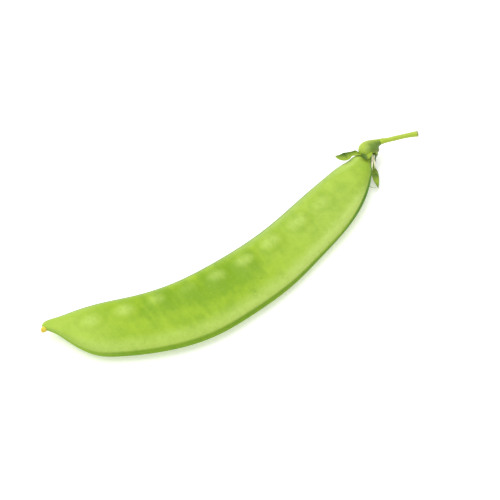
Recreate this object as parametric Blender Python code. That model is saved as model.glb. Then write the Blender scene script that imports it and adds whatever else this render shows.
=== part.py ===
"""A snow pea pod as picked, with its calyx and a short stalk, lying on one side on a flat surface.

Units are metres and +Z is up. The pod runs along X: its beak, with the withered style, is at -X and
the stalk is at +X. The seam that bears the seeds is on the +Y side and the back seam on the -Y side.
Points are drawn in millimetres from the beak's end, and ORIGIN moves the middle of the underside of
the whole object's box to the world origin.
"""

import math

import bmesh
import bpy
import numpy as np
from mathutils import Vector

MM = 0.001
ORIGIN = (52.5, -10.56, 0.0)  # the middle of the underside of the object's box, in drawing millimetres
GAP = 0.18  # clearance between pieces that grow out of each other, in millimetres

# The pod, in drawing millimetres. Each row is one station: a point on the seed seam, then the point
# across from it on the back seam. The first row is the beak's end and the last is inside the calyx.
STATIONS = (
    ((-0.5, 0.3), (0.15, -1.85)),
    ((0.15, 0.65), (0.7, -2.6)),
    ((1.3, 0.75), (1.35, -3.7)),
    ((3.8, 0.35), (2.6, -6.8)),
    ((7.8, -0.1), (5.45, -12.3)),
    ((13.8, -1.2), (11.0, -16.7)),
    ((22.0, -3.75), (20.3, -21.1)),
    ((32.0, -5.85), (32.0, -24.0)),
    ((43.0, -6.2), (44.35, -23.65)),
    ((54.0, -5.45), (56.2, -21.85)),
    ((64.0, -3.6), (67.5, -18.45)),
    ((73.5, -1.1), (77.8, -14.8)),
    ((81.2, 0.55), (85.6, -10.2)),
    ((85.9, 1.2), (89.6, -6.4)),
    ((88.4, 1.35), (91.2, -4.3)),
    ((89.8, 1.45), (91.9, -3.0)),
    ((90.7, 1.1), (92.5, -2.1)),
    ((91.6, 1.0), (93.1, -1.3)),
    ((92.7, 1.55), (94.0, -0.4)),
)
FULL_WIDTH = 18.2  # the widest station
FULL_HALF_THICKNESS = 2.85
THICKNESS_FOLLOWS_WIDTH = 0.58  # half thickness goes with width to this power
FLANK_POWER = 2.8  # higher is a flatter face with a blunter edge
FLANK_ROOT = 0.55
SEAM_STANDS_PROUD = 0.28
SEAM_HALF_HEIGHT = 0.55
# How high the pod's middle plane is, and how far it rolls, by distance along the pod's middle line.
MIDDLE_HEIGHT = (
    (0.0, 3.7), (9.0, 2.95), (24.0, 2.66), (72.0, 2.66),
    (84.0, 2.95), (92.0, 3.2), (96.5, 3.4), (99.0, 4.0),
)
ROLL_DEGREES = ((0.0, 4.0), (24.0, 0.0), (72.0, 0.0), (92.0, -3.0), (100.0, 0.0))
POD_RINGS = 76
POD_RING_SIDES = 32
SEAM_STEPS = 300  # for measuring along the seed seam

# Seeds hang from the seed seam and show as low swellings on both faces. Each row is a seed, from the
# beak on: its distance along the seam, how far it hangs in from it, and how high its swelling is.
SEEDS = (
    (12.0, 5.4, 0.42),
    (20.5, 5.2, 0.5),
    (28.6, 4.2, 0.38),
    (35.9, 4.3, 0.24),
    (43.1, 5.0, 0.52),
    (51.3, 5.1, 0.55),
    (59.2, 4.8, 0.62),
    (68.0, 5.2, 0.5),
    (76.0, 6.0, 0.4),
)
SEED_SPREAD = 2.1

# The calyx cup is a dome on its mouth, drawn out towards the stalk. Each row is a ring: how far its
# centre is from the mouth's centre, on what heading and rise, the heading it faces, and its radius.
MOUTH = (93.23, -0.02, 4.0)
CUP = (
    (0.0, 57, 32, 57, 2.5),
    (0.6, 55, 32, 54, 2.64),
    (1.15, 52, 31, 49, 2.64),
    (1.65, 46, 30, 41, 2.46),
    (2.1, 38, 28, 32, 2.15),
    (2.55, 30, 23, 21, 1.72),
    (3.0, 23, 20, 10, 1.34),
    (3.55, 17, 17, -3, 0.98),
    (4.2, 12, 14, -16, 0.78),
)
CUP_SOCKET = ((0.0, 2.18), (0.5, 2.14), (1.0, 1.94), (1.45, 1.5))  # depth from the mouth, radius
CUP_SIDES = 24

# The stalk: x, y, z and radius, from the cup to its cut end.
STALK = (
    (97.44, 0.75, 5.1, 0.74),
    (98.3, 0.36, 5.2, 0.64),
    (100.3, -0.42, 5.42, 0.6),
    (102.4, -1.1, 5.5, 0.59),
    (104.4, -1.75, 5.48, 0.62),
    (106.2, -2.4, 5.4, 0.74),
)

# The withered style on the beak.
STYLE = (
    (-0.32, -0.84, 3.68, 0.68),
    (-0.65, -0.98, 3.64, 0.72),
    (-0.98, -1.15, 3.58, 0.68),
    (-1.2, -1.3, 3.5, 0.42),
)

# Calyx lobes. Around is where the root sits on the cup's rim, in degrees from the seed-seam side up over
# the top, and the path is x, y and z from there to the tip. Outline is the width along the lobe, as a
# share of the full width, and twist turns the blade on the way.
LOBES = {
    "lobe_seed_side": dict(
        around=42, width=2.1, twist=45,
        outline=(
            (0.0, 0.32), (0.2, 0.3), (0.36, 0.44), (0.51, 0.76), (0.7, 1.0), (0.84, 0.75), (0.93, 0.4),
            (1.0, 0.1),
        ),
        path=(
            (90.3, 1.2, 5.6), (89.5, 1.6, 5.35), (88.66, 1.63, 5.2), (87.46, 1.42, 5.25), (86.28, 1.68, 5.4),
            (85.48, 2.26, 5.5), (85.07, 2.95, 5.6),
        ),
    ),
    "lobe_top": dict(
        around=80, width=2.4, twist=0,
        outline=((0.0, 0.86), (0.35, 1.0), (0.75, 0.7), (1.0, 0.2)),
        path=((91.75, -1.35, 5.9), (91.5, -1.95, 5.85), (91.4, -2.5, 5.65)),
    ),
    "lobe_back_torn": dict(
        around=145, width=0.9, twist=0,
        outline=((0.0, 1.0), (0.5, 0.9), (1.0, 0.5)),
        path=((93.85, -1.9, 4.1), (93.2, -2.75, 3.9)),
    ),
    "lobe_back_long": dict(
        around=-143, width=1.9, twist=-105,
        outline=((0.0, 0.8), (0.25, 0.34), (0.4, 0.4), (0.55, 0.85), (0.7, 1.0), (0.85, 0.62), (1.0, 0.1)),
        path=(
            (94.0, -1.6, 2.75), (92.67, -3.06, 2.6), (91.8, -4.35, 2.4), (91.08, -5.9, 2.22),
            (90.4, -7.77, 2.05), (90.03, -8.93, 1.95),
        ),
    ),
    "lobe_under": dict(
        around=-62, width=2.2, twist=0,
        outline=((0.0, 0.8), (0.35, 1.0), (0.7, 0.64), (1.0, 0.12)),
        path=((91.8, 0.45, 1.45), (90.7, -0.2, 1.0), (89.3, -0.8, 0.75), (87.9, -1.3, 0.62)),
    ),
}
LOBE_THICKNESS = 0.3
LOBE_CUPPING = 0.16  # how far the edges curl in, as a share of the width
LOBE_CELLS = (12, 4)

# Dried stamen threads left at the cup's mouth: x, y, z along each, all of one radius.
THREADS = {
    "stamen_thread_upper": (
        (93.25, -1.2, 5.2), (92.75, -2.1, 5.15), (92.2, -3.05, 4.7), (91.6, -3.9, 4.1), (91.25, -4.45, 3.65),
    ),
    "stamen_thread_outer": (
        (93.6, -1.35, 4.6), (93.15, -2.2, 4.7), (92.6, -3.35, 4.35), (92.0, -4.5, 3.8),
    ),
    "stamen_thread_curled": (
        (94.2, 0.2, 2.45), (93.3, -1.0, 1.7), (92.0, -2.6, 1.0), (90.7, -4.05, 0.7), (89.5, -5.5, 0.7),
        (88.9, -6.7, 1.1), (89.15, -7.65, 1.4), (89.8, -8.2, 1.5),
    ),
}
THREAD_RADIUS = 0.15

COLOURS = {  # name: base colour, roughness
    "pod_flesh": ((0.36, 0.58, 0.08), 0.42),
    "calyx_green": ((0.30, 0.46, 0.07), 0.55),
    "stalk_green": ((0.46, 0.62, 0.10), 0.48),
    "lobe_green": ((0.16, 0.29, 0.05), 0.6),
    "dried_straw": ((0.72, 0.62, 0.40), 0.8),
    "dried_style": ((0.55, 0.46, 0.12), 0.75),
}


def spline(knots, values, at):
    """A natural cubic spline through (knot, value) pairs, read at the given places."""
    knots = np.asarray(knots, float)
    values = np.asarray(values, float).reshape(len(knots), -1)
    at = np.asarray(at, float)
    step = np.diff(knots)[:, None]
    slope = np.diff(values, axis=0) / step
    matrix = np.eye(len(knots))
    right = np.zeros_like(values)
    for i in range(1, len(knots) - 1):
        before, after = step[i - 1, 0], step[i, 0]
        matrix[i, i - 1 : i + 2] = before, 2 * (before + after), after
        right[i] = 6 * (slope[i] - slope[i - 1])
    bend = np.linalg.solve(matrix, right)
    cell = np.clip(np.searchsorted(knots, at) - 1, 0, len(knots) - 2)
    width = step[cell]
    near = ((at - knots[cell])[:, None]) / width
    far = 1 - near
    curve = (far**3 - far) * bend[cell] + (near**3 - near) * bend[cell + 1]
    return far * values[cell] + near * values[cell + 1] + curve * width**2 / 6


def along(points):
    """Distance along a row of points, from the first."""
    return np.concatenate([[0.0], np.cumsum(np.linalg.norm(np.diff(points, axis=0), axis=1))])


def unit(vectors):
    return vectors / np.linalg.norm(vectors, axis=-1, keepdims=True)


def material(name):
    """A plain Principled material of one of the pod's colours."""
    made = bpy.data.materials.get(name)
    if made is None:
        colour, roughness = COLOURS[name]
        made = bpy.data.materials.new(name)
        made.use_nodes = True
        shader = made.node_tree.nodes["Principled BSDF"]
        shader.inputs["Base Color"].default_value = (*colour, 1.0)
        shader.inputs["Roughness"].default_value = roughness
        shader.inputs["Metallic"].default_value = 0.0
    return made


def metres(point):
    return Vector(point) * MM


def add_frame():
    """The empty that all pieces hang from. It stands where the drawing's zero is in the world."""
    frame = bpy.data.objects.new("drawing_zero", None)
    frame.location = -metres(ORIGIN)
    frame.empty_display_size = 5 * MM
    bpy.context.scene.collection.objects.link(frame)
    return frame


def add_object(name, data, finish):
    data.materials.append(material(finish))
    made = bpy.data.objects.new(name, data)
    made.parent = bpy.data.objects["drawing_zero"]
    bpy.context.scene.collection.objects.link(made)
    return made


def loft(name, rings, finish):
    """A closed solid skinned over rings of points, with the first and last ring filled."""
    work = bmesh.new()
    rows = [[work.verts.new(metres(point)) for point in ring] for ring in rings]
    for near, far in zip(rows, rows[1:]):
        for i in range(len(near)):
            j = (i + 1) % len(near)
            work.faces.new((near[i], near[j], far[j], far[i]))
    work.edges.ensure_lookup_table()
    for end in (rows[0], rows[-1]):
        rim = [edge for edge in work.edges if edge.is_boundary and edge.verts[0] in end]
        bmesh.ops.edgeloop_fill(work, edges=rim)
    bmesh.ops.recalc_face_normals(work, faces=work.faces)
    mesh = bpy.data.meshes.new(name)
    work.to_mesh(mesh)
    work.free()
    mesh.shade_smooth()
    return add_object(name, mesh, finish)


def station_shapes(count):
    """Seed-seam and back-seam points, middle heights and rolls at evenly spread stations."""
    rows = np.array(STATIONS)
    knots = along(rows.mean(axis=1))
    # Stations crowd towards the beak, where the outline turns quickly.
    share = np.linspace(0, 1, count)
    at = knots[-1] * (share**1.35 * 0.75 + share * 0.25)
    seed = spline(knots, rows[:, 0], at)
    back = spline(knots, rows[:, 1], at)
    height = spline(*zip(*MIDDLE_HEIGHT), at)[:, 0]
    roll = np.radians(spline(*zip(*ROLL_DEGREES), at)[:, 0])
    return seed, back, height, roll


def seed_centres():
    """Where the seeds lie in plan, square in from the seed seam."""
    seam, _, _, _ = station_shapes(SEAM_STEPS)
    reach = along(seam)
    stops, hangs, _ = np.transpose(SEEDS)
    points = np.stack([np.interp(stops, reach, seam[:, axis]) for axis in (0, 1)], axis=1)
    ahead = np.stack([np.interp(stops + 1, reach, seam[:, axis]) for axis in (0, 1)], axis=1)
    run = unit(ahead - points)
    inward = np.stack([run[:, 1], -run[:, 0]], axis=1)
    return points + hangs[:, None] * inward


def seed_swelling(x, y):
    """How far the seeds push a face out at plan points."""
    rise = np.zeros_like(x)
    for (seed_x, seed_y), (_, _, height) in zip(seed_centres(), SEEDS):
        away = (x - seed_x) ** 2 + (y - seed_y) ** 2
        rise += height * np.exp(-away / (2 * SEED_SPREAD**2))
    return rise


def pod_section(seed, back, height, roll):
    """One closed ring of the pod: a flat lens with blunt edges and a proud seam at each edge."""
    turn = 2 * math.pi * np.arange(POD_RING_SIDES) / POD_RING_SIDES
    across = np.cos(turn)
    side = np.where(np.abs(np.sin(turn)) < 1e-9, 0.0, np.sign(np.sin(turn)))
    middle, half = (seed + back) / 2, np.linalg.norm(seed - back) / 2
    outward = (seed - back) / (2 * half)
    proud = min(SEAM_STANDS_PROUD, 0.2 * half)
    body = half - proud
    from_middle = across * half
    share = np.clip(np.abs(from_middle) / body, 0, 1)
    thickness = FULL_HALF_THICKNESS * (2 * half / FULL_WIDTH) ** THICKNESS_FOLLOWS_WIDTH
    flank = thickness * (1 - share**FLANK_POWER) ** FLANK_ROOT
    bead_radius = min(SEAM_HALF_HEIGHT, 0.45 * half)
    bead = np.sqrt(np.clip(bead_radius**2 - (np.abs(from_middle) - (half - bead_radius)) ** 2, 0, None))
    bead[np.abs(from_middle) < half - bead_radius] = 0
    lift = side * np.maximum(flank, bead)
    x = middle[0] + outward[0] * from_middle
    y = middle[1] + outward[1] * from_middle
    fade = np.clip(1 - share, 0, 1) ** 0.5
    lift += side * seed_swelling(x, y) * fade
    level = from_middle * math.cos(roll) - lift * math.sin(roll)
    z = height + from_middle * math.sin(roll) + lift * math.cos(roll)
    x = middle[0] + outward[0] * level
    y = middle[1] + outward[1] * level
    return np.stack([x, y, np.maximum(z, 0.0)], axis=1)  # the belly is pressed flat where it rests


def make_pod():
    rings = [pod_section(*shape) for shape in zip(*station_shapes(POD_RINGS))]
    return loft("pod", rings, "pod_flesh")


def swept_rings(rows, count, sides):
    """Rings square to a smooth path through rows of x, y, z and radius."""
    rows = np.array(rows)
    knots = along(rows[:, :3])
    at = np.linspace(0, knots[-1], count)
    path = spline(knots, rows, at)
    run = unit(np.gradient(path[:, :3], at, axis=0))
    level = unit(np.cross((0.0, 0.0, 1.0), run))
    rise = np.cross(run, level)
    turn = 2 * math.pi * np.arange(sides) / sides
    ring = level[:, None] * np.cos(turn)[None, :, None] + rise[:, None] * np.sin(turn)[None, :, None]
    return path[:, None, :3] + ring * path[:, None, 3:4]


def heading(degrees, rise):
    """A direction from a heading in plan, turned from +X towards +Y, and a rise above level."""
    turn, lift = math.radians(degrees), math.radians(rise)
    return np.array([math.cos(lift) * math.cos(turn), math.cos(lift) * math.sin(turn), math.sin(lift)])


def cup_axes(facing, rise):
    """The way a ring of the cup faces, its seed-seam side and its top side."""
    inward = heading(facing, rise)
    seed_side = unit(np.cross((0.0, 0.0, 1.0), inward))
    return inward, seed_side, np.cross(inward, seed_side)


def cup_rings(count):
    """The cup's outer rings from the mouth to the stalk."""
    rows = np.array(CUP, float)
    table = spline(np.arange(len(rows)), rows, np.linspace(0, len(rows) - 1, count))
    turn = 2 * math.pi * np.arange(CUP_SIDES)[:, None] / CUP_SIDES
    rings = []
    for reach, way, rise, facing, radius in table:
        _, seed_side, top = cup_axes(facing, rise)
        centre = np.array(MOUTH) + reach * heading(way, rise)
        rings.append(centre + radius * (seed_side * np.cos(turn) + top * np.sin(turn)))
    return rings


def make_cup():
    """The swollen cup with the open socket that the pod's neck sits in."""
    outer = cup_rings(17)
    mouth = np.array(MOUTH)
    inward, _, _ = cup_axes(*CUP[0][2:4][::-1])
    spokes = unit(outer[0] - mouth)
    socket = [mouth + inward * depth + spokes * radius for depth, radius in reversed(CUP_SOCKET)]
    return loft("calyx_cup", [*socket, *outer], "calyx_green")


def make_swept(name, rows, finish, sides=12, count=14):
    return loft(name, swept_rings(rows, count, sides), finish)


def lobe_rows(lobe, steps, cells):
    """Rows of points across a lobe. The root follows the cup's rim and the rest follows its path."""
    inward, seed_side, top = cup_axes(*CUP[0][2:4][::-1])
    around = math.radians(lobe["around"])
    rim = CUP[0][4] - LOBE_THICKNESS / 2 - 0.03
    start = np.array(MOUTH) - inward * GAP
    radial = seed_side * math.cos(around) + top * math.sin(around)
    side = top * math.cos(around) - seed_side * math.sin(around)
    root = start + radial * rim
    stops = np.array([root, root - inward * 0.2, *lobe["path"]])
    knots = along(stops)
    shares = np.linspace(0, 1, steps + 1)
    spine = spline(knots, stops, shares * knots[-1])
    runs = unit(np.gradient(spine, shares * knots[-1], axis=0))
    runs[0] = -inward
    halves = lobe["width"] / 2 * spline(*zip(*lobe["outline"]), shares)[:, 0]
    across = np.linspace(-1, 1, cells + 1)[:, None]
    rows = []
    for share, point, run, half in zip(shares, spine, runs, halves):
        side = unit(side - run * (side @ run))
        face = np.cross(side, run)
        swing = math.radians(lobe["twist"]) * min(max(share - 0.15, 0.0) / 0.45, 1.0)
        blade_side = side * math.cos(swing) + face * math.sin(swing)
        blade_face = face * math.cos(swing) - side * math.sin(swing)
        flat = point + blade_side * half * across - blade_face * LOBE_CUPPING * 2 * half * across**2
        turn = around + across * half / rim
        curved = point - radial * rim + rim * (seed_side * np.cos(turn) + top * np.sin(turn))
        free = min(share / 0.25, 1.0)
        rows.append(curved * (1 - free) + flat * free)
    return rows


def make_lobe(name, lobe):
    """A leafy lobe: a cupped blade given its thickness by a Solidify modifier."""
    steps, cells = LOBE_CELLS
    work = bmesh.new()
    grid = [[work.verts.new(metres(point)) for point in row] for row in lobe_rows(lobe, steps, cells)]
    for near, far in zip(grid, grid[1:]):
        for cell in range(cells):
            work.faces.new((near[cell], near[cell + 1], far[cell + 1], far[cell]))
    bmesh.ops.recalc_face_normals(work, faces=work.faces)
    mesh = bpy.data.meshes.new(name)
    work.to_mesh(mesh)
    work.free()
    mesh.shade_smooth()
    made = add_object(name, mesh, "lobe_green")
    thick = made.modifiers.new("thickness", "SOLIDIFY")
    thick.thickness = LOBE_THICKNESS * MM
    thick.offset = 0.0
    return made


def make_thread(name, points):
    """A dried thread, as a bevelled curve with closed ends."""
    curve = bpy.data.curves.new(name, "CURVE")
    curve.dimensions = "3D"
    curve.bevel_depth = THREAD_RADIUS * MM
    curve.bevel_resolution = 1
    curve.use_fill_caps = True
    line = curve.splines.new("POLY")
    knots = along(np.array(points))
    smooth = spline(knots, points, np.linspace(0, knots[-1], 13))
    line.points.add(len(smooth) - 1)
    for target, point in zip(line.points, smooth):
        target.co = (*metres(point), 1.0)
    return add_object(name, curve, "dried_straw")


def main():
    for old in list(bpy.data.objects):
        bpy.data.objects.remove(old)
    add_frame()
    make_pod()
    make_cup()
    make_swept("stalk", STALK, "stalk_green")
    make_swept("withered_style", STYLE, "dried_style", sides=10, count=7)
    for name, lobe in LOBES.items():
        make_lobe(name, lobe)
    for name, points in THREADS.items():
        make_thread(name, points)


main()
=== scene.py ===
"""The looks of a snow pea pod as picked: its skin, calyx, stalk and dried threads, and a studio round it.

Every piece lies where its CAD solid lies. Tables of points are in drawing millimetres, whose zero is the
beak's end, and finished pieces are in metres with +Z up. The pod runs along X, its beak at -X and its
stalk at +X. The seam that bears the seeds is at +Y and the back seam at -Y.
"""

import math

import bpy
import numpy as np
from bpy.props import FloatProperty, FloatVectorProperty, IntProperty, PointerProperty
from bpy.types import Operator, Panel, PropertyGroup
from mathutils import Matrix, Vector


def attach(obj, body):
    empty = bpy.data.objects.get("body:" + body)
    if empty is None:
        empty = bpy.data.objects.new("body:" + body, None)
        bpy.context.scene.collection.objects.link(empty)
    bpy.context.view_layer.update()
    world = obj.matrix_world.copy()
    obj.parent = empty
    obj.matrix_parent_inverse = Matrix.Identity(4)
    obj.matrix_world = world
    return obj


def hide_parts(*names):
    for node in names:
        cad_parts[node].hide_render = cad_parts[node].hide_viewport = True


bl_info = {
    "name": "Snow Pea Pod",
    "version": (1, 0, 0),
    "blender": (4, 5, 0),
    "location": "3D View > Sidebar > Pea Pod",
    "description": "Makes the skin, calyx, stalk and studio of a snow pea pod",
    "category": "Object",
}

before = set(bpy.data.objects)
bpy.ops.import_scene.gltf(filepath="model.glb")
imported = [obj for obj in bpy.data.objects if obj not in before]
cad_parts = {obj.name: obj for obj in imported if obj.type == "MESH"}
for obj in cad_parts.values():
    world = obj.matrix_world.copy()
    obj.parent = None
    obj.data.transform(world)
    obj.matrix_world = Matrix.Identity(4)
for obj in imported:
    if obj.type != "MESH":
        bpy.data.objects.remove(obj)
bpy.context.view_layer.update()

MM = 0.001
ORIGIN = (52.5, -10.56, 0.0)  # the middle of the box's underside, in drawing millimetres

# The pod's stations: a point on the seed seam, then the point across from it on the back seam.
STATIONS = (
    ((-0.5, 0.3), (0.15, -1.85)), ((0.15, 0.65), (0.7, -2.6)), ((1.3, 0.75), (1.35, -3.7)),
    ((3.8, 0.35), (2.6, -6.8)), ((7.8, -0.1), (5.45, -12.3)), ((13.8, -1.2), (11.0, -16.7)),
    ((22.0, -3.75), (20.3, -21.1)), ((32.0, -5.85), (32.0, -24.0)), ((43.0, -6.2), (44.35, -23.65)),
    ((54.0, -5.45), (56.2, -21.85)), ((64.0, -3.6), (67.5, -18.45)), ((73.5, -1.1), (77.8, -14.8)),
    ((81.2, 0.55), (85.6, -10.2)), ((85.9, 1.2), (89.6, -6.4)), ((88.4, 1.35), (91.2, -4.3)),
    ((89.8, 1.45), (91.9, -3.0)), ((90.7, 1.1), (92.5, -2.1)), ((91.6, 1.0), (93.1, -1.3)),
    ((92.7, 1.55), (94.0, -0.4)),
)
# How high the pod's middle plane is, and how far it rolls, by distance along the pod's middle line.
MIDDLE_HEIGHT = (
    (0.0, 3.7), (9.0, 2.95), (24.0, 2.66), (72.0, 2.66),
    (84.0, 2.95), (92.0, 3.2), (96.5, 3.4), (99.0, 4.0),
)
ROLL_DEGREES = ((0.0, 4.0), (24.0, 0.0), (72.0, 0.0), (92.0, -3.0), (100.0, 0.0))
END_CAP_RINGS = 6  # that round off an end of the pod or of a swept piece
END_CAP_DEPTH = 0.3  # how far each end of the pod domes out, as a share of its half width
RING_CROWDING = (0.75, 1.35)  # the share of the rings that crowd towards the beak, and by what power
EDGE_CLOSING = 0.0008  # the share of the half width over which the faces close at a seam's edge
# In metres: how far apart the dents of the two faces are read, how softly the underside runs into the flat
# that it rests on, the swelling that the finish takes for a whole seed, and how close points are merged.
FACES_APART = 0.01
FLOOR_SOFTNESS = 0.1 * MM
FULL_SWELLING = 0.5 * MM
WELD = 0.0005 * MM
# Each seed from the beak on: its distance along the seed seam, how far it hangs in, and its swelling.
SEEDS = (
    (12.0, 5.4, 0.42), (20.5, 5.2, 0.5), (28.6, 4.2, 0.38), (35.9, 4.3, 0.24), (43.1, 5.0, 0.52),
    (51.3, 5.1, 0.55), (59.2, 4.8, 0.62), (68.0, 5.2, 0.5), (76.0, 6.0, 0.4),
)

# The calyx cup's rings: how far each centre is from the mouth's centre, on what heading and rise, the
# heading that the ring faces, and its radius.
MOUTH = (93.23, -0.02, 4.0)
CUP = (
    (0.0, 57, 32, 57, 2.5), (0.6, 55, 32, 54, 2.64), (1.15, 52, 31, 49, 2.64), (1.65, 46, 30, 41, 2.46),
    (2.1, 38, 28, 32, 2.15), (2.55, 30, 23, 21, 1.72), (3.0, 23, 20, 10, 1.34), (3.55, 17, 17, -3, 0.98),
    (4.2, 12, 14, -16, 0.78),
)
CUP_SOCKET = ((0.0, 2.34), (0.2, 2.24), (0.5, 2.14), (1.0, 1.94), (1.45, 1.5), (1.5, 0.7))  # depth, radius
RIM_SPREAD = 27.0  # how many degrees a lobe's rib and its run-out of the rim spread to each side
RIM_DEPTH = 0.5  # how far down the cup, inside and out, the rim's run-outs fade away
RIM_SHRINK = (180.0, 50.0, 0.3)  # where the rim has shrunk in drying, over how many degrees, and how much
SHRINK_DEPTH = 1.1  # how far down the outside it has shrunk
WAIST = (0.12, 0.16, 0.1)  # the groove under the rim: how far down it is, its half width and its depth
RIB_HEIGHT = 0.04

# x, y, z and radius along the stalk and the style.
STALK = (
    (96.5, 0.87, 4.93, 0.5), (97.3, 0.78, 5.07, 0.73), (98.3, 0.36, 5.2, 0.64), (100.3, -0.42, 5.42, 0.6),
    (102.4, -1.1, 5.5, 0.59), (104.4, -1.75, 5.48, 0.62), (106.2, -2.4, 5.4, 0.74),
)
STYLE = (
    (-0.12, -0.78, 3.7, 0.6), (-0.42, -0.86, 3.68, 0.7), (-0.72, -1.0, 3.63, 0.71),
    (-0.98, -1.15, 3.58, 0.62), (-1.2, -1.3, 3.5, 0.36),
)
THREAD_RADII = (0.15, 0.09)  # at the root and at the tip
TIP_SHARE = 0.03  # of its radius that a swept piece keeps at its very end
THREADS = {
    "stamen_thread_upper": (
        (93.25, -1.2, 5.2), (92.75, -2.1, 5.15), (92.2, -3.05, 4.7), (91.6, -3.9, 4.1),
        (91.25, -4.45, 3.65),
    ),
    "stamen_thread_outer": (
        (93.6, -1.35, 4.6), (93.15, -2.2, 4.7), (92.6, -3.35, 4.35), (92.0, -4.5, 3.8),
    ),
    "stamen_thread_curled": (
        (94.2, 0.2, 2.45), (93.3, -1.0, 1.7), (92.0, -2.6, 1.0), (90.7, -4.05, 0.7),
        (89.5, -5.5, 0.7), (88.9, -6.7, 1.1), (89.15, -7.65, 1.4), (89.8, -8.2, 1.5),
    ),
}

# Calyx lobes. Around is where the root sits on the cup's rim in degrees, from the seed-seam side up over
# the top, and rim is how far the rim runs out there. Fresh is painted light and shade: how much lighter the
# two margins are, darker below nought, and twist is how many degrees the blade turns. Outline is the share
# of the width by share of the length, and the path is x, y and z from the root to the tip.
LOBES = {
    "lobe_seed_side": {
        "around": 25, "rim": 0.3, "width": 2.1, "fresh": (-0.4, 0.8), "twist": 45,
        "outline": (
            (0.0, 1.0), (0.15, 1.0), (0.27, 0.72), (0.36, 0.6), (0.44, 0.66), (0.51, 0.82), (0.59, 0.98),
            (0.7, 1.0), (0.84, 0.73), (0.93, 0.38), (1.0, 0.03),
        ),
        "path": (
            (90.25, 1.1, 4.75), (89.45, 1.45, 4.95), (88.6, 1.55, 5.1), (87.46, 1.42, 5.25),
            (86.28, 1.68, 5.4), (85.48, 2.26, 5.5), (85.07, 2.95, 5.6),
        ),
    },
    "lobe_top": {
        "around": 76, "rim": 0.6, "width": 2.9, "fresh": (-0.6, 1.0), "twist": 0,
        "outline": ((0.0, 1.1), (0.35, 1.0), (0.75, 0.75), (1.0, 0.06)),
        "path": ((91.75, -1.35, 5.9), (91.5, -1.95, 5.85), (91.4, -2.5, 5.65)),
    },
    # The torn lobe is painted in shade all over, as it hangs in the cup's shadow.
    "lobe_back_torn": {
        "around": 142, "rim": 0.1, "width": 0.9, "fresh": (-1.0, -1.0), "twist": 0,
        "outline": ((0.0, 1.0), (0.5, 0.9), (1.0, 0.5)),
        "path": ((93.85, -1.9, 4.1), (93.2, -2.75, 3.9)),
    },
    "lobe_back_long": {
        "around": -143, "rim": 0.3, "width": 2.1, "fresh": (0.0, 0.0), "twist": -105,
        "outline": (
            (0.0, 0.8), (0.25, 0.26), (0.38, 0.3), (0.52, 0.9), (0.68, 1.0), (0.85, 0.62), (1.0, 0.04),
        ),
        "path": (
            (94.0, -1.6, 2.75), (92.67, -3.06, 2.6), (91.8, -4.35, 2.4), (91.08, -5.9, 2.22),
            (90.4, -7.77, 2.05), (90.03, -8.93, 1.95),
        ),
    },
    "lobe_under": {
        "around": -62, "rim": 0.6, "width": 2.2, "fresh": (0.0, 0.0), "twist": 0,
        "outline": ((0.0, 0.8), (0.35, 1.0), (0.7, 0.64), (1.0, 0.06)),
        "path": ((91.8, 0.45, 1.45), (90.7, -0.2, 1.0), (89.3, -0.8, 0.75), (87.9, -1.3, 0.62)),
    },
}

LOBE_THICKNESS = 0.26
LOBE_CUPPING = 0.16  # how far the edges curl in, as a share of the width
LOBE_RIPPLE = 0.05  # how far the edges wave, as a share of half the width
RIPPLE_TURN = 17.0  # how many radians the wave turns along a lobe
ROOT_INSET = 0.03  # how far a lobe's root lies inside the cup's outline
ROOT_DEPTH = 0.3  # and how deep in the rim
ROOT_SHARE = 0.25  # the share of a lobe's length over which it leaves the rim's curve
TWIST_SHARE = 0.3  # the share over which it takes its twist

# How each swept piece differs from the usual one.
SWEEP_CHANGES = {
    "stalk_shape": {},
    "style_shape": {"ridges": 5, "ridge_height": 0.08, "girth_change": 0.3, "wobble_scale": 900.0},
    "thread_shape": {
        "sides": 10, "ridges": 2, "ridge_height": 0.25, "girth_change": 0.35, "wobble": 0.12 * MM,
    },
}

# The camera looks down on the pod from its back-seam side, well back with a long lens.
CAMERA_AZIMUTH = -33.0
CAMERA_ELEVATION = 55.0
CAMERA_DISTANCE = 0.6
CAMERA_TARGET = (0.0005, 0.00276, 0.0028)
VIEW_WIDTH = 0.12107  # of what the camera sees at its target
SENSOR_WIDTH = 36.0
# How wide each light is and where it hangs, in metres.
TOP_LIGHT = (1.1, (-0.12, 0.22, 0.8))
SIDE_LIGHT = (0.4, (-0.6, -0.35, 0.45))
WHITE = (1.0, 1.0, 1.0, 1.0)


# -------- sizes and colours that a user can change


def length(name, about, millimetres):
    return FloatProperty(name=name, description=about, default=millimetres * MM, unit="LENGTH", precision=5)


def share(name, about, default):
    return FloatProperty(name=name, description=about, default=default)


def colour(name, about, default):
    return FloatVectorProperty(
        name=name, description=about, default=default, subtype="COLOR", min=0.0, max=1.0
    )


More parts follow.
